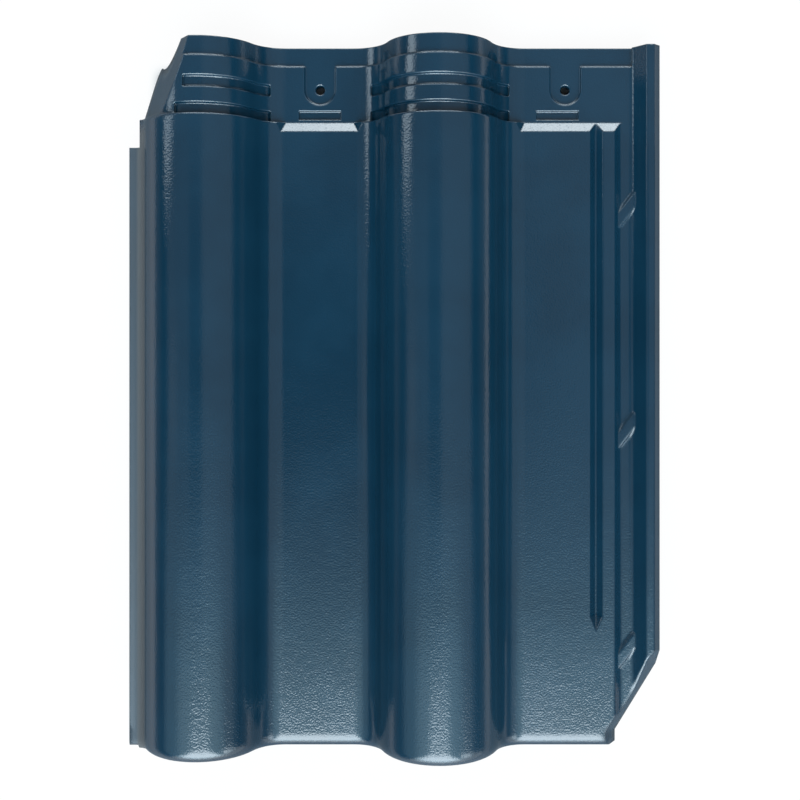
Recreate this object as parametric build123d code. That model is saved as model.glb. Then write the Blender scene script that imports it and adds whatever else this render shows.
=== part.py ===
"""Double-roll interlocking clay roof tile, one fired piece.

X runs across the tile, Y runs from the nose (the lower edge on a roof) to the head, Z is up.
The origin is the middle of the footprint, and the tile rests on its nibs and nose bars.
"""

import os
from math import sqrt

from build123d import *

# Overall size, in millimetres
length = 400
width = 301

# Shell of the tile: heights above the resting surface, and thicknesses
pan_top = 20
pan_thickness = 11
lap_drop = 4
lap_thickness = 8

# The two rolls. The first takes the neighbour's rib, the second is the higher one
roll_1_inset = 41
roll_1_rise = 28.5
roll_2_rise = 34
crest_radius = 36
foot_radius = 16
roll_lap_drop = 3
pan_2_extra = 12

# Flange along the first roll, which lies on the neighbour's second pan
flange_thickness = 4.5
flange_gap = 0.5
flange_trim = 6
flange_end = 59
flange_nose_gap = 3
flange_nose_width = 5
heel_radius = 7

# Channel and rib along the other side, which go under the neighbour's first roll
pan_2_edge_inset = 25.7
channel_width = 6.7
rib_rise = 4.4
rib_slope = 7
rib_flat = 4
rib_outer_drop = 4
rib_outer_slope = 3
channel_radius = 3.5

# Head lap: riser, recessed rim, grooves over the rolls, slots and nail pockets in the pans
lap_length = 43.2
riser_run = 5.6
riser_taper = 4.7
rim_depth = 2
rim_width = 10.8
groove_width = 6
groove_spacing = 15
groove_past = 2
groove_2_past_left = 3
groove_2_past_right = 4
nail_inset = 24
nail_radius = 2.6
nail_2_offset = -2
pocket_radius = 8.8
slot_length = 24
slot_width = 4.8
slot_gap = 1.8
slot_2_offset = -6.5

# Drip groove down the second pan
drip_inset = 10.3
drip_width = 7.5
drip_depth = 3.6
drip_stop = 75
drip_point = 9.4

# Slanted dams across the channel
dam_count = 3
dam_from_head = 101
dam_from_nose = 47
dam_length = 15.5
dam_height = 1.6
dam_side_angle = 40
dam_slant = 1.29

# Corner cuts: first roll at the head, rib side at the nose
head_cut_length = 46
head_cut_width = 14.2
head_cut_slope = 0.725
nose_cut_width = 23.7
nose_cut_length = 45
nose_cut_square = 6.5
nose_cut_angle = 32

# Underside: nibs that hook on the batten, and bars under the nose
nib_length = 28
nib_width = 13
nib_inset = 3.5
bar_width = 9
bar_inset = 3

# Rounded edges, and the reach for finding an edge by its place
slack = 0.01
nose_radius = 6
rib_edge_radius = 1.2
pan_edge_radius = 2.5
roll_step_radius = 1.2
groove_radius = 0.8
rim_radius = 0.8
nail_mouth_radius = 0.8
slot_radius = 0.6
drip_radius = 0.8

# Heights and edges that follow from these
left, right = -width / 2, width / 2
head, nose = length / 2, -length / 2
pan_under = pan_top - pan_thickness
lap_top = pan_top - lap_drop
lap_under = lap_top - lap_thickness
rim_top = lap_top - rim_depth
rim_sink = roll_lap_drop + rim_depth
flange_bottom = pan_top + flange_gap
flange_top = flange_bottom + flange_thickness
rib_top = pan_top + rib_rise
riser = head - lap_length
under_step = riser - 2 * lap_drop
lap_side = left + flange_trim
above = pan_top + roll_2_rise + foot_radius
below = -foot_radius
anywhere = (-length, length)
margin = foot_radius


def foot(center, crest, radius, level, side):
    """Curve from a roll down to a flat: where it leaves the roll, its middle, where it lands."""
    reach = sqrt((crest + radius) ** 2 - (level + radius - center.Y) ** 2)
    pivot = Vector(center.X + side * reach, level + radius)
    leave = center + (pivot - center) * (crest / (crest + radius))
    land = Vector(pivot.X, level)
    middle = pivot + ((leave - pivot) + (land - pivot)).normalized() * radius
    return leave, middle, land


# Roll centres: the flats of the pans share what the rolls leave, with the second a little wider
height_1 = pan_top + roll_1_rise - crest_radius
height_2 = pan_top + roll_2_rise - crest_radius
center_1 = Vector(left + roll_1_inset, height_1)
pan_1_start = foot(center_1, crest_radius, foot_radius, pan_top, 1)[2].X
reach_2 = foot(Vector(0, height_2), crest_radius, foot_radius, pan_top, 1)[2].X
pan_2_edge = right - pan_2_edge_inset
pan_1_width = (pan_2_edge - pan_1_start - 2 * reach_2 - pan_2_extra) / 2
pan_1_end = pan_1_start + pan_1_width
center_2 = Vector(pan_1_end + reach_2, height_2)
pan_2_start = center_2.X + reach_2
channel_start = pan_2_edge + lap_drop
channel_end = channel_start + channel_width
rib_start = channel_end + rib_slope


def under(sink, pan, ledge, start, side, radii):
    """Region under the rolls and pans, with the rolls sunk below their outside.

    The first roll ends on a ledge that starts at start, and side lists the corners past the pans.
    """
    crest, radius = crest_radius - sink, foot_radius + sink
    heel = foot(center_1, crest, heel_radius, ledge, -1)
    foot_1 = foot(center_1, crest, radius, pan, 1)
    foot_2 = foot(center_2, crest, radius, pan, -1)
    foot_3 = foot(center_2, crest, radius, pan, 1)
    with BuildSketch(Plane.XZ) as region:
        with BuildLine():
            Polyline((start, below), (start, ledge), heel[2])
            ThreePointArc(heel[2], heel[1], heel[0])
            ThreePointArc(heel[0], (center_1.X, center_1.Y + crest), foot_1[0])
            ThreePointArc(*foot_1)
            Line(foot_1[2], foot_2[2])
            ThreePointArc(*reversed(foot_2))
            ThreePointArc(foot_2[0], (center_2.X, center_2.Y + crest), foot_3[0])
            ThreePointArc(*foot_3)
            FilletPolyline(foot_3[2], *side, radius=radii)
            Line(side[-1], (start, below))
        make_face()
    return region.sketch


def run(section, start, end):
    """Solid with this cross-section along the tile, from start (nearer the nose) to end."""
    return Pos(0, end, 0) * extrude(section, amount=end - start)


def block(x, y, z):
    """Box between two limits on each axis."""
    size = [limits[1] - limits[0] for limits in (x, y, z)]
    return Pos(x[0], y[0], z[0]) * Box(*size, align=Align.MIN)


def pick(shape, x, y, z):
    """Edges whose middles lie between these limits, or on them."""
    found = shape.edges()
    for axis, limits in ((Axis.X, x), (Axis.Y, y), (Axis.Z, z)):
        found = found.filter_by_position(axis, limits[0] - slack, limits[1] + slack)
    return found


def plan(points, height):
    """Flat face with straight sides, at this height."""
    return Plane.XY.offset(height) * make_face(Polyline(*points, close=True).edges())


def head_cut(y, z):
    """X of the leaning cut at the head corner of the first roll."""
    along = (y - head + head_cut_length) / head_cut_length
    return lap_side + head_cut_width * along + head_cut_slope * (z - pan_top)


def slope(start, end, start_taper, end_taper):
    """Cutter for the riser of one pan: a slope whose ends lean out over the feet of the rolls."""
    slices = []
    for grow in (0, 2):
        back = riser - riser_run * grow
        slices.append(plan([
            (start - start_taper * grow, riser + 1), (start - start_taper * grow / 2, back),
            (end + end_taper * grow / 2, back), (end + end_taper * grow, riser + 1),
        ], lap_top + lap_drop * grow))
    return loft(slices, ruled=True)


# Body with full thickness, from the nose to the riser
rib = [(channel_end, lap_top), (rib_start, rib_top), (rib_start + rib_flat, rib_top),
       (right, rib_top - rib_outer_drop), (right, below)]
rib_radii = [channel_radius, rib_edge_radius, rib_edge_radius, rib_edge_radius]
body = run(under(0, pan_top, flange_top, left,
                 [(pan_2_edge, pan_top), (channel_start, lap_top), *rib],
                 [pan_edge_radius, channel_radius, *rib_radii]), nose, riser)
body -= slope(pan_1_start, pan_1_end, riser_taper, riser_taper)
body -= slope(pan_2_start, channel_start, riser_taper, 0)

# Nose corner on the rib side, cut away with a slanting edge, then the rounded nose
corner = plan([
    (right - nose_cut_width, nose - margin), (right - nose_cut_width, nose + nose_cut_square),
    (right, nose + nose_cut_length), (right + margin, nose + nose_cut_length + margin),
    (right + 3 * margin, nose - margin),
], lap_under)
body -= extrude(corner, amount=above, taper=-nose_cut_angle)
body = fillet(pick(body, anywhere, (nose, nose), (pan_top, above)), nose_radius)
body -= block((left - 1, left + flange_nose_width), (nose - 1, nose + flange_nose_gap), (0, above))

# Thinner head lap, which the next course covers
body += run(under(roll_lap_drop, lap_top, flange_top, lap_side, rib, rib_radii), under_step, head)

# Flange ends short of the head lap, and the first roll's corner is cut at a lean
body -= block((left - 1, lap_side), (head - flange_end, head + 1), (0, above))
low_1 = Vector(head_cut(head - head_cut_length, pan_top), head - head_cut_length, pan_top)
low_2 = Vector(head_cut(head, pan_top), head, pan_top)
face = Plane(low_1, x_dir=low_2 - low_1, z_dir=Vector(head_cut_slope, 0, 1).cross(low_2 - low_1))
outside = face * Pos(0, 0, length / 2) * Box(3 * length, length, length)
body -= outside & block((left - margin, center_1.X), (riser, head + 1), (0, above))

# Everything under the tile: roll hollows open at both ends, and the undersides of pans and lap
past = right + margin
hollow = run(under(pan_thickness, pan_under, flange_bottom, left - margin,
                   [(pan_2_edge, pan_under), (pan_2_edge, lap_under), (past, lap_under), (past, below)], 0),
             nose - margin, under_step)
hollow += run(under(pan_thickness, lap_under, flange_bottom, left - margin,
                    [(past, lap_under), (past, below)], 0),
              under_step, head + margin)
tile = body - hollow

# Recessed rim along the head, and pockets of the same depth round the nail holes
sunk = run(under(rim_sink, rim_top, flange_top, lap_side, [(right, rim_top), (right, below)], 0),
           under_step, head + margin)
rim = head - rim_width
tile -= block((lap_side, channel_end), (rim, head + margin), (0, above)) - sunk
pan_middle_1 = (pan_1_start + pan_1_end) / 2
pan_middle_2 = (pan_2_start + pan_2_edge) / 2
nail_y = head - nail_inset
nails = (pan_middle_1, pan_middle_2 + nail_2_offset)
low = (Align.CENTER, Align.CENTER, Align.MIN)
for x in nails:
    pocket = Cylinder(pocket_radius, lap_drop, align=low)
    pocket += block((-pocket_radius, pocket_radius), (0, nail_inset), (0, lap_drop))
    tile -= Pos(x, nail_y, rim_top) * pocket
rim_edges = pick(tile, anywhere, (rim, rim), (rim_top, above))
for x in nails:
    for z in (rim_top, lap_top):
        rim_edges += pick(tile, (x - pocket_radius, x + pocket_radius),
                          (nail_y - pocket_radius, rim - 1), (z, z))
tile = fillet(rim_edges, rim_radius)
for x in nails:
    tile -= Pos(x, nail_y, 0) * Cylinder(nail_radius, pan_top, align=low)
    mouth = pick(tile, (x - nail_radius, x + nail_radius), (nail_y, nail_y), (rim_top, rim_top))
    tile = fillet(mouth, nail_mouth_radius)

# Slots across the pans and grooves over the rolls, just past the risers
for x in (pan_middle_1, pan_middle_2 + slot_2_offset):
    slot = Box(slot_length, slot_width, lap_drop, align=(Align.CENTER, Align.MIN, Align.MIN))
    tile -= Pos(x, riser + slot_gap, rim_top) * slot
    mouth = pick(tile, (x - slot_length / 2, x + slot_length / 2),
                 (riser + slot_gap, riser + slot_gap + slot_width), (lap_top, lap_top))
    tile = fillet(mouth, slot_radius)
for y in (riser, riser + groove_spacing):
    first = (head_cut(y + groove_width, height_1 + crest_radius), center_1.X + crest_radius + groove_past)
    second = (center_2.X - crest_radius - groove_2_past_left, center_2.X + crest_radius + groove_2_past_right)
    for start, end in (first, second):
        tile -= block((start, end), (y, y + groove_width), (0, above)) - sunk
        for wall in (y, y + groove_width):
            if wall > riser:
                tile = fillet(pick(tile, (start, end), (wall, wall), (rim_top, above)), groove_radius)
for center in (center_1, center_2):
    crest = center.Y + crest_radius
    step = pick(tile, (center.X - crest_radius, center.X + crest_radius), (riser, riser), (crest - 1, crest))
    tile = fillet(step, roll_step_radius)

# Drip groove with a pointed end
drip = pan_2_edge - drip_inset
vee = Plane.XZ * make_face(Polyline((drip - drip_width / 2, pan_top), (drip, pan_top - drip_depth),
                                    (drip + drip_width / 2, pan_top), close=True).edges())
tile -= run(vee, nose + drip_stop, riser)
tile -= loft([Pos(0, nose + drip_stop, 0) * vee, Vertex(drip, nose + drip_stop - drip_point, pan_top)])
drip_edges = pick(tile, (drip - drip_width / 2, drip + drip_width / 2),
                  (nose + drip_stop - drip_point, riser - slack), (lap_top, pan_top))
tile = fillet(drip_edges, drip_radius)

# Slanted dams across the channel
dam_pitch = (length - dam_from_head - dam_from_nose) / (dam_count - 1)
reach_x = channel_width + 2 * lap_drop
reach_y = reach_x * dam_slant
for i in range(dam_count):
    y = nose + dam_from_nose + i * dam_pitch - reach_y / 2
    bar = plan([(pan_2_edge, y), (pan_2_edge + reach_x, y + reach_y),
                (pan_2_edge + reach_x, y + reach_y + dam_length), (pan_2_edge, y + dam_length)], lap_top - 1)
    tile += extrude(bar, amount=dam_height + 1, taper=dam_side_angle)

# Nibs at the head and bars at the nose carry the tile
for x in nails:
    tile += block((x - nib_length / 2, x + nib_length / 2),
                  (head - nib_inset - nib_width, head - nib_inset), (0, lap_under + 1))
for start, end in ((pan_1_start, pan_1_end), (pan_2_start, right - nose_cut_width - nose_radius)):
    tile += block((start, end), (nose + bar_inset, nose + bar_inset + bar_width), (0, pan_under + 1))

tile.label = "roof_tile"
os.makedirs("parts", exist_ok=True)
export_step(tile, "parts/roof_tile.step")
print("solids", len(tile.solids()), "litres", round(tile.volume / 1e6, 3))
print(tile.bounding_box())
print("nail holes at", [(round(x, 2), nail_y) for x in nails])
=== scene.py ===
# %% [markdown]
# # A glazed clay roof tile
# The tile has two rolls and two flat pans, and lies on a white table under a camera that looks
# straight down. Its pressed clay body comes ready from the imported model. This file gives the body
# its deep blue glaze and its bare clay, then adds the table, the room, one lamp and the camera.

import bpy
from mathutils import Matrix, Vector

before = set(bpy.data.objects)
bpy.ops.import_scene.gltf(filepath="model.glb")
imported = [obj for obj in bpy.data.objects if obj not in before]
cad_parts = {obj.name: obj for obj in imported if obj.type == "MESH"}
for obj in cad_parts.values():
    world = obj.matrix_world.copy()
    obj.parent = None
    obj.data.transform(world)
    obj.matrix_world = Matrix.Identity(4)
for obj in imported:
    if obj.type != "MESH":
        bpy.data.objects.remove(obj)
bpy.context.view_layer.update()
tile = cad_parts["roof_tile"]
MM = 0.001
print("tile", len(tile.data.vertices), "points,", len(tile.data.polygons), "faces")

# %% [markdown]
# The camera hangs 680 mm above the table. From there the rolls lean outward a little toward the
# edges of the picture, as they do in the photograph. The picture was cropped off centre, so the
# lens is shifted sideways. Turning the camera instead would make the straight sides converge.

# %% Camera
CAMERA_PLACE = Vector((19.6, 30, 680)) * MM
SENSOR_WIDTH = 36
LENS_LENGTH = 52.1
LENS_SHIFT = (-0.0375, -0.07)

camera_data = bpy.data.cameras.new("studio_camera")
camera_data.sensor_width = SENSOR_WIDTH
camera_data.lens = LENS_LENGTH
camera_data.shift_x, camera_data.shift_y = LENS_SHIFT
camera = bpy.data.objects.new("studio_camera", camera_data)
camera.location = CAMERA_PLACE
bpy.context.scene.collection.objects.link(camera)
bpy.context.scene.camera = camera
bpy.context.scene.view_settings.view_transform = "Standard"
print("camera height", round(camera.location.z, 3), "m")


# %% [markdown]
# A material is a graph of nodes. It can be drawn by hand in the shader editor, but in a script it
# stays readable and repeats exactly. These helpers keep the graphs short to write: `put` fills a
# socket with a value or a link, and `add` makes a node and fills its inputs.

# %% Helpers that make nodes
def put(socket, value):
    """Set a socket to a plain value, or link it to another node's output."""
    if isinstance(value, bpy.types.NodeSocket):
        socket.id_data.links.new(value, socket)
    else:
        socket.default_value = value


def add(tree, kind, inputs=None, **settings):
    """Make a node, set its options, then fill its inputs by name or number."""
    node = tree.nodes.new(kind)
    for name, value in settings.items():
        setattr(node, name, value)
    for key, value in (inputs or {}).items():
        put(node.inputs[key], value)
    return node


def new_material(name):
    """Empty material and its graph."""
    material = bpy.data.materials.new(name)
    material.use_nodes = True
    material.node_tree.nodes.clear()
    return material, material.node_tree


print("node helpers ready")


# %% [markdown]
# A mask is a number that is one where something applies and zero where it doesn't. Masks could be
# painted on the mesh, but sums on the place of each point need no image and stay sharp close up.
# `calc` does one sum, and the others make and join masks.

# %% Helpers that make masks
def calc(tree, operation, a, b=0.0):
    """One sum on two values."""
    return add(tree, "ShaderNodeMath", {0: a, 1: b}, operation=operation).outputs[0]


def ramp(tree, value, low, high, to_low=0.0, to_high=1.0):
    """Soft step from to_low, at low, to to_high, at high."""
    limits = {"Value": value, "From Min": low, "From Max": high, "To Min": to_low, "To Max": to_high}
    return add(tree, "ShaderNodeMapRange", limits, interpolation_type="SMOOTHSTEP").outputs["Result"]


def fade(tree, value, limits):
    """Mask that grows from the first limit to the second, both in millimetres."""
    return ramp(tree, value, limits[0] * MM, limits[1] * MM)


def band(tree, value, start, end, soft):
    """One between start and end, zero outside, with soft edges."""
    return calc(tree, "MULTIPLY", ramp(tree, value, start - soft, start + soft),
                ramp(tree, value, end + soft, end - soft))


def stretch(tree, value, limits, soft):
    """Band between two limits, with soft edges, all in millimetres."""
    return band(tree, value, limits[0] * MM, limits[1] * MM, soft * MM)


def both(tree, *masks):
    """Where all of these masks are one."""
    result = masks[0]
    for mask in masks[1:]:
        result = calc(tree, "MULTIPLY", result, mask)
    return result


def largest(tree, *values):
    """The largest of these values."""
    result = values[0]
    for value in values[1:]:
        result = calc(tree, "MAXIMUM", result, value)
    return result


print("mask helpers ready")

# %% [markdown]
# The graph first works out where on the tile it is: the place in metres, and how far the surface
# turns up or down. `under` is one on everything that faces down, where no glaze was sprayed.
# `edge` finds the tile's sharp edges: a Bevel node gives the direction that a rounded copy of the
# surface would face, and where that differs from the real direction there is an edge.

# %% Where the glaze lies
EDGE_RADIUS = 1.3 * MM
EDGE_SAMPLES = 6
DOWNWARD = (-0.05, -0.35)
EDGE_TURN = (0.985, 0.85)

glaze_material, tree = new_material("blue_glaze_on_clay")
place = add(tree, "ShaderNodeTexCoord").outputs["Object"]
x, y, z = add(tree, "ShaderNodeSeparateXYZ", {0: place}).outputs
surface_way = add(tree, "ShaderNodeNewGeometry").outputs["Normal"]
facing = add(tree, "ShaderNodeSeparateXYZ", {0: surface_way}).outputs["Z"]
under = ramp(tree, facing, *DOWNWARD)
rounded = add(tree, "ShaderNodeBevel", {"Radius": EDGE_RADIUS}, samples=EDGE_SAMPLES).outputs["Normal"]
turn = add(tree, "ShaderNodeVectorMath", {0: rounded, 1: surface_way},
           operation="DOT_PRODUCT").outputs["Value"]
edge = ramp(tree, turn, *EDGE_TURN)
print("masks under and edge, with edges of", EDGE_RADIUS, "m")

# %% [markdown]
# Some parts of the tile took less glaze, or have rounder edges, than the rest. The flange mask also
# takes in the foot of the left roll, where the grey is a painted reflection. Each is found by its
# place, from the middle of the tile: x to the right, y toward the head, z up. Each pair of numbers
# says where a mask begins and where it is full.

# %% Parts of the tile, in millimetres
flange = both(tree, fade(tree, x, (-134.5, -138)), fade(tree, z, (34, 29)), fade(tree, y, (156, 148)))
rib = both(tree, fade(tree, x, (146, 148.5)), fade(tree, z, (12, 18)))
nose = fade(tree, y, (-184, -190))
left_corner = both(tree, fade(tree, x, (-118, -124)), fade(tree, y, (146, 152)))
channel = both(tree, stretch(tree, x, (127, 149), 2), fade(tree, y, (148, 140)))

# The nose is cut off at a slant on the right. This is the distance past that cut's line.
CUT_SLOPE = 0.527
CUT_START = 228.7 * MM
beside_cut = calc(tree, "SUBTRACT", x, calc(tree, "MULTIPLY", y, CUT_SLOPE))
past_cut = calc(tree, "SUBTRACT", beside_cut, CUT_START)
right_corner = both(tree, fade(tree, past_cut, (-11, -6)), fade(tree, y, (-140, -145)))
print("masks for flange, rib, nose, two corners and channel")


# %% [markdown]
# Colours are linear, so they look darker as numbers than they do in the picture. The glaze is a
# deep blue that lets almost no red through. Along sharp edges it is paler, partly where the glaze
# runs thin and partly as a painted highlight. It is grey on the flange and the outer rib, where it
# lies thin, and grey on the foot of the left roll as a painted reflection of the pale table. The
# clay shows on the underside and in the nail holes.

# %% Colours
def blend(tree, share, a, b):
    """Mix of two colours."""
    node = add(tree, "ShaderNodeMix", data_type="RGBA")
    put(node.inputs[0], share)
    put(node.inputs[6], a)
    put(node.inputs[7], b)
    return node.outputs[2]


GLAZE = (0.0040, 0.0280, 0.0535, 1)
GLAZE_DEEP = (0.0031, 0.0232, 0.0450, 1)
# Paler blue along edges: partly thinner glaze at the break, partly a painted highlight.
GLAZE_EDGE_AND_HIGHLIGHT = (0.0200, 0.0600, 0.0900, 1)
# Grey: thin glaze on the flange's rim and the rib, and a painted reflection of the pale table on the
# foot of the left roll.
GLAZE_THIN_AND_REFLECTION = (0.0700, 0.0750, 0.0820, 1)
CLAY = (0.300, 0.120, 0.060, 1)
CLAY_DARK = (0.170, 0.065, 0.035, 1)
print("four glaze colours and two clay colours")


# %% [markdown]
# Clouds of a few centimetres move the glaze between its two blues, where the spray lay thicker or
# thinner. Fine specks break up the paler edges, so that they don't look drawn with a pen. The clay
# has grit in two browns. All of it is noise worked out from the place, so it has no seams.

# %% Glaze and clay colour
def noise(tree, place, scale, detail=2.0, roughness=0.5):
    """Cloudy value between 0 and 1, with about this many clouds to the metre."""
    return add(tree, "ShaderNodeTexNoise", {"Vector": place, "Scale": scale, "Detail": detail,
                                            "Roughness": roughness}).outputs["Fac"]


RIB_SHARE = 0.24
FLANGE_RIM_SHARE = 0.42
clouds = noise(tree, place, 16, 3, 0.6)
specks = noise(tree, place, 420, 2, 0.6)
grit = noise(tree, place, 900, 4, 0.7)

colour = blend(tree, ramp(tree, clouds, 0.35, 0.65), GLAZE_DEEP, GLAZE)
# Painted highlight along the sharp edges, mixed with thinner glaze there.
edge_glaze_and_highlight_share = calc(tree, "MULTIPLY", edge, ramp(tree, specks, 0.35, 0.7, 0.1, 0.6))
colour = blend(tree, edge_glaze_and_highlight_share, colour, GLAZE_EDGE_AND_HIGHLIGHT)
# Full grey share on the foot of the left roll is a painted reflection of the pale table; the flange's
# rim gets less, for thin glaze.
foot_reflection_and_rim_share = ramp(tree, x, -145 * MM, -147 * MM, 1.0, FLANGE_RIM_SHARE)
flange_thin_glaze_and_reflection = calc(tree, "MULTIPLY", flange, foot_reflection_and_rim_share)
# Share of grey: thin glaze on rib and flange rim, painted reflection on the left roll's foot.
thin_glaze_and_reflection = largest(tree, flange_thin_glaze_and_reflection, calc(tree, "MULTIPLY", rib, RIB_SHARE))
colour = blend(tree, thin_glaze_and_reflection, colour, GLAZE_THIN_AND_REFLECTION)
clay_colour = blend(tree, ramp(tree, grit, 0.35, 0.7), CLAY_DARK, CLAY)
print("thin glaze covers", RIB_SHARE, "of the rib and", FLANGE_RIM_SHARE, "of the flange's rim")

# %% [markdown]
# Firing leaves the glaze with the fine dimples of orange peel. They are far too small to model, so
# a bump node tilts the surface by the slope of a noise. The Bevel node rounds edges in the shading
# only, as glaze does when it runs, and more at the nose, the two cut corners and the channel.

# %% Relief
EDGE_ROUNDING = 1.0 * MM
MORE_AT_NOSE = 4.5 * MM
CORNER_ROUNDING = 3.5 * MM
CHANNEL_ROUNDING = 2.2 * MM
ROUNDING_SAMPLES = 8
PEEL_DEPTH = 0.10 * MM
PORE_DEPTH = 0.25 * MM

fine_peel = calc(tree, "MULTIPLY", noise(tree, place, 1000, 1, 0.4), 0.68)
coarse_peel = calc(tree, "MULTIPLY", noise(tree, place, 240, 1, 0.4), 0.35)
peel = calc(tree, "ADD", fine_peel, coarse_peel)
at_nose = calc(tree, "ADD", EDGE_ROUNDING, calc(tree, "MULTIPLY", nose, MORE_AT_NOSE))
at_corners = calc(tree, "ADD", calc(tree, "MULTIPLY", left_corner, CORNER_ROUNDING),
                  calc(tree, "MULTIPLY", right_corner, CORNER_ROUNDING))
reach = largest(tree, at_nose, at_corners, calc(tree, "MULTIPLY", channel, CHANNEL_ROUNDING))
soft_edges = add(tree, "ShaderNodeBevel", {"Radius": reach}, samples=ROUNDING_SAMPLES).outputs["Normal"]
dimples = add(tree, "ShaderNodeBump", {"Height": peel, "Distance": PEEL_DEPTH, "Strength": 1.0,
                                       "Normal": soft_edges}).outputs[0]
pores = add(tree, "ShaderNodeBump", {"Height": grit, "Distance": PORE_DEPTH, "Strength": 1.0,
                                     "Normal": soft_edges}).outputs[0]
print("peel", PEEL_DEPTH, "m deep, edges rounded by", EDGE_ROUNDING, "m and more at the nose")

# %% [markdown]
# Glaze and clay are two shaders, mixed by where the glaze lies. The flange and the outer rib are
# rougher than the rest, because little glaze reached them.

# %% Finish
GLAZE_IOR = 1.52
CLAY_ROUGHNESS = 0.85
THIN_GLAZE_ROUGHNESS = 0.5

gloss = ramp(tree, clouds, 0.3, 0.7, 0.09, 0.14)
thin_gloss = calc(tree, "MULTIPLY", largest(tree, flange, rib), THIN_GLAZE_ROUGHNESS)
glaze_shader = add(tree, "ShaderNodeBsdfPrincipled", {
    "Base Color": colour, "Roughness": largest(tree, gloss, thin_gloss), "IOR": GLAZE_IOR,
    "Normal": dimples})
clay_shader = add(tree, "ShaderNodeBsdfPrincipled", {
    "Base Color": clay_colour, "Roughness": CLAY_ROUGHNESS, "Normal": pores})
finish = add(tree, "ShaderNodeMixShader",
             {0: under, 1: glaze_shader.outputs[0], 2: clay_shader.outputs[0]})
add(tree, "ShaderNodeOutputMaterial", {"Surface": finish.outputs[0]})
tile.data.materials.clear()
tile.data.materials.append(glaze_material)
print("material", glaze_material.name, len(tree.nodes), "nodes")

# %% [markdown]
# The table is white paper. Its own glow, which only the camera and mirror-like reflections see,
# keeps it white without more lamps on the tile, and the rest of its colour still takes the shadow.
# Under the tile the glow is left out and the paper is painted a shaded grey, so the nail holes
# are as dark as they are in a real one. Reflections find no glow close to the tile, and all rays
# but the camera's find that darker paper too, as painted shade on the table.
# Real paper would throw its white onto the tile's sides, which the photograph doesn't show.

# %% Table
TABLE_DROP = 0.2 * MM
bpy.ops.mesh.primitive_plane_add(size=6, location=(0, 0, -TABLE_DROP))
table = bpy.context.object
table.name = "table"
paper_material, tree = new_material("white_paper")
ray = add(tree, "ShaderNodeLightPath").outputs
place = add(tree, "ShaderNodeTexCoord").outputs["Object"]
x, y = add(tree, "ShaderNodeSeparateXYZ", {0: place}).outputs[:2]
covered = both(tree, stretch(tree, x, (-141, 121), 6), stretch(tree, y, (-190, 190), 6))
near = both(tree, stretch(tree, x, (-240, 240), 80), stretch(tree, y, (-280, 280), 80))
print("table", tuple(table.dimensions))

# %% [markdown]
# Now the paper itself. The masks above say which rays find it glowing, and which find it shaded.

# %% Paper
GLOW_SHARE = 0.93
PAPER_WHITE = ((0.80, 0.80, 0.80, 1), (0.82, 0.82, 0.82, 1))
PAPER_SHADED = (0.25, 0.25, 0.26, 1)

mirrored = largest(tree, ray["Is Glossy Ray"], ray["Is Transmission Ray"])
in_view = calc(tree, "SUBTRACT", ray["Is Camera Ray"], covered)
seen = largest(tree, in_view, calc(tree, "SUBTRACT", mirrored, near))
glow_share = largest(tree, calc(tree, "MULTIPLY", seen, GLOW_SHARE), 0.0)
white = blend(tree, noise(tree, place, 40), *PAPER_WHITE)
# Painted shade: the grey paper under the tile and for all rays but the camera's.
paper_colour = blend(tree, calc(tree, "SUBTRACT", 1.0, in_view), white, PAPER_SHADED)
paper = add(tree, "ShaderNodeBsdfDiffuse", {"Color": paper_colour})
paper_glow = add(tree, "ShaderNodeEmission", {"Color": (1, 1, 1, 1), "Strength": 1.0})
surface = add(tree, "ShaderNodeMixShader",
              {0: glow_share, 1: paper.outputs[0], 2: paper_glow.outputs[0]})
add(tree, "ShaderNodeOutputMaterial", {"Surface": surface.outputs[0]})
table.data.materials.append(paper_material)
print("paper", paper_material.name, len(tree.nodes), "nodes")

# %% [markdown]
# A glossy thing shows its surroundings, so the room matters as much as the lamp. It could be a set
# of panels, but a room painted by direction has no objects to get in the way. A direction is three
# numbers: how far it leans to the right, toward the head of the tile, and up.

# %% Directions in the room
LEAST = 0.02
world = bpy.data.worlds.new("studio_room")
bpy.context.scene.world = world
world.use_nodes = True
tree = world.node_tree
tree.nodes.clear()
way = add(tree, "ShaderNodeTexCoord").outputs["Generated"]
to_right, to_head, up = add(tree, "ShaderNodeSeparateXYZ", {0: way}).outputs
to_nose = calc(tree, "MULTIPLY", to_head, -1.0)
off_middle = calc(tree, "ABSOLUTE", to_right)
lean_right = calc(tree, "DIVIDE", to_right, largest(tree, up, LEAST))
lean_either = calc(tree, "ABSOLUTE", lean_right)
aside = calc(tree, "DIVIDE", off_middle, largest(tree, to_nose, LEAST))
above = ramp(tree, up, 0.0, 0.05)
print("directions ready")

# %% [markdown]
# Overhead is a dim ceiling, a little dimmer on the left, with a darker stripe down its middle and
# one faint patch on the left. It keeps the blue deep. Near the horizon the room is slightly lit,
# and the tile's sides mirror that.

# %% Ceiling
ceiling = both(tree, above, band(tree, lean_right, -1.90, 1.70, 0.30),
               ramp(tree, lean_right, 0.0, 0.12, 0.65, 1.0))
middle = both(tree, above, band(tree, lean_right, -0.35, 0.05, 0.06),
              ramp(tree, calc(tree, "ABSOLUTE", to_nose), 0.22, 0.02))
patch = both(tree, above, band(tree, lean_right, -1.60, -0.90, 0.25),
             band(tree, to_nose, 0.01, 0.08, 0.03))
low = ramp(tree, up, 0.35, 0.05)
print("ceiling, middle, patch and low painted")

# %% [markdown]
# Beyond the nose hangs a large bright window, with a halo and a glow that reach up toward the top.
# Its light makes the grain of the glaze sparkle near the nose. Low down it is dimmer, because the
# rolls turned white when seen from behind. That helps only in part: the crests still turn white
# there. A second light stands in the right corner, for the highlight on the slanted cut.

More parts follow.
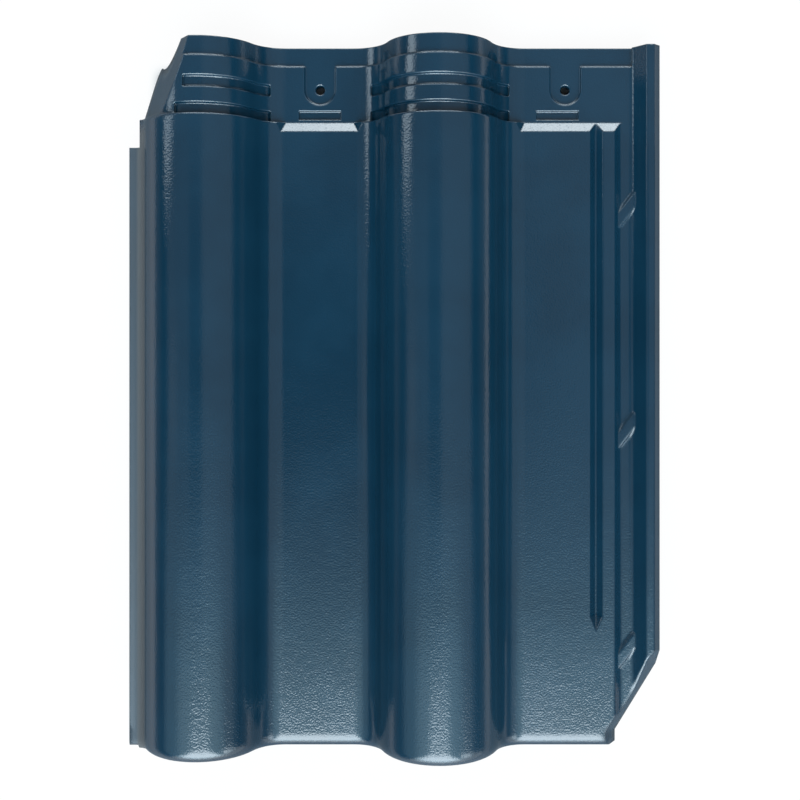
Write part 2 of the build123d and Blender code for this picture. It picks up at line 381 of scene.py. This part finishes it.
# %% Window and its glow
halo = both(tree, ramp(tree, to_nose, 0.05, 0.29), ramp(tree, up, 0.25, 0.45),
            ramp(tree, lean_right, 0.3, 1.0, 1.0, 0.5))
glow = both(tree, ramp(tree, to_nose, 0.196, 0.305), ramp(tree, up, 0.30, 0.50),
            ramp(tree, lean_either, 1.2, 0.5))
dimmer = ramp(tree, up, 0.30, 0.60, 0.22, 1.0)
window = both(tree, above, dimmer, ramp(tree, to_nose, 0.338, 0.38),
              ramp(tree, aside, 0.90, 0.55))
corner = both(tree, above, dimmer, ramp(tree, to_nose, 0.36, 0.42),
              band(tree, to_right, 0.58, 0.92, 0.05))
print("window, halo, glow and corner painted")

# %% [markdown]
# Behind the head a softer light catches the slopes of the head lap. A narrow strip on the left
# draws the thin line of light along each roll.

# %% Head light and strip
head = both(tree, above, ramp(tree, to_head, 0.42, 0.58), ramp(tree, off_middle, 0.60, 0.40))
strip_top = calc(tree, "SUBTRACT", to_head, calc(tree, "MULTIPLY", up, 0.2))
strip = both(tree, band(tree, up, 0.36, 0.60, 0.04), ramp(tree, to_right, 0.0, -0.3),
             ramp(tree, to_head, 0.45, 0.33), ramp(tree, strip_top, 0.060, 0.070))
print("head light and strip painted")

# %% [markdown]
# Each part of the room has its own strength, and they add up. The stripe in the ceiling takes light
# away. The window is far brighter than plain white, because seen from above the glaze mirrors only
# a few hundredths of what shines on it. At a flat angle it mirrors much more. The parts have two
# tints: a greener blue for the halo and glow, and a paler one for the window, strip, corner and
# head light.

# %% Strengths and tints
BASE_STRENGTH = 0.02
STRENGTHS = (
    ("ceiling", ceiling, 0.42), ("middle", middle, -0.22), ("patch", patch, 0.35),
    ("halo", halo, 0.70), ("glow", glow, 1.6), ("window", window, 12.0), ("strip", strip, 4.2),
    ("low", low, 0.20), ("corner", corner, 8.0), ("head", head, 2.6))
PLAIN_TINT = (1.0, 1.0, 0.95, 1)
GLOW_TINT = (0.63, 0.90, 1.0, 1)
WINDOW_TINT = (0.80, 0.93, 1.0, 1)

total = BASE_STRENGTH
for name, mask, strength in STRENGTHS:
    total = calc(tree, "ADD", total, calc(tree, "MULTIPLY", mask, strength))
    print(name, "strength", strength)
glow_mask = calc(tree, "MINIMUM", calc(tree, "ADD", halo, glow), 1.0)
tint = blend(tree, glow_mask, PLAIN_TINT, GLOW_TINT)
tint = blend(tree, largest(tree, window, strip, corner, head), tint, WINDOW_TINT)

# %% [markdown]
# Light Path tells which kind of ray asks. Matt surfaces get only 0.4 of the window, corner and head
# light, so the glaze mirrors a brighter room than the one that lights it. A real room can't do
# this. It was chosen so that a window bright enough for the highlights doesn't light the blue too
# much as well. The camera sees plain white.

# %% What each ray sees
MATT_LOSS = 0.6
ray = add(tree, "ShaderNodeLightPath").outputs
matt = calc(tree, "SUBTRACT", 1.0, ray["Is Glossy Ray"])
bright = both(tree, matt, largest(tree, window, corner, head))
kept_light = calc(tree, "SUBTRACT", 1.0, calc(tree, "MULTIPLY", bright, MATT_LOSS))
total = calc(tree, "MULTIPLY", total, kept_light)
total = largest(tree, total, ray["Is Camera Ray"])
tint = blend(tree, ray["Is Camera Ray"], tint, (1, 1, 1, 1))
light = add(tree, "ShaderNodeBackground", {"Color": tint, "Strength": total})
add(tree, "ShaderNodeOutputWorld", {"Surface": light.outputs[0]})
print("room painted by direction,", len(tree.nodes), "nodes")

# %% [markdown]
# One lamp adds what the room leaves out. It is low and wide, beyond the head, and lights the sloping
# risers where the head lap begins.

# %% Lamp
LAMP_PLACE = Vector((0.0, 2.2, 0.30))
LAMP_AIM = Vector((0, 0, 0.03))
LAMP_SIZE = (1.8, 0.40)
LAMP_WATTS = 22
LAMP_COLOUR = (0.86, 0.95, 1.0)

lamp_data = bpy.data.lights.new("low_head", "AREA")
lamp_data.shape = "RECTANGLE"
lamp_data.size, lamp_data.size_y = LAMP_SIZE
lamp_data.energy = LAMP_WATTS
lamp_data.color = LAMP_COLOUR
lamp = bpy.data.objects.new("low_head", lamp_data)
lamp.location = LAMP_PLACE
lamp.rotation_euler = (LAMP_PLACE - LAMP_AIM).to_track_quat("Z", "Y").to_euler()
bpy.context.scene.collection.objects.link(lamp)
print("lamp", lamp.name, LAMP_WATTS, "W")

# %% [markdown]
# The last cell only prints a closing line.

# %% Finish
print("scene ready")
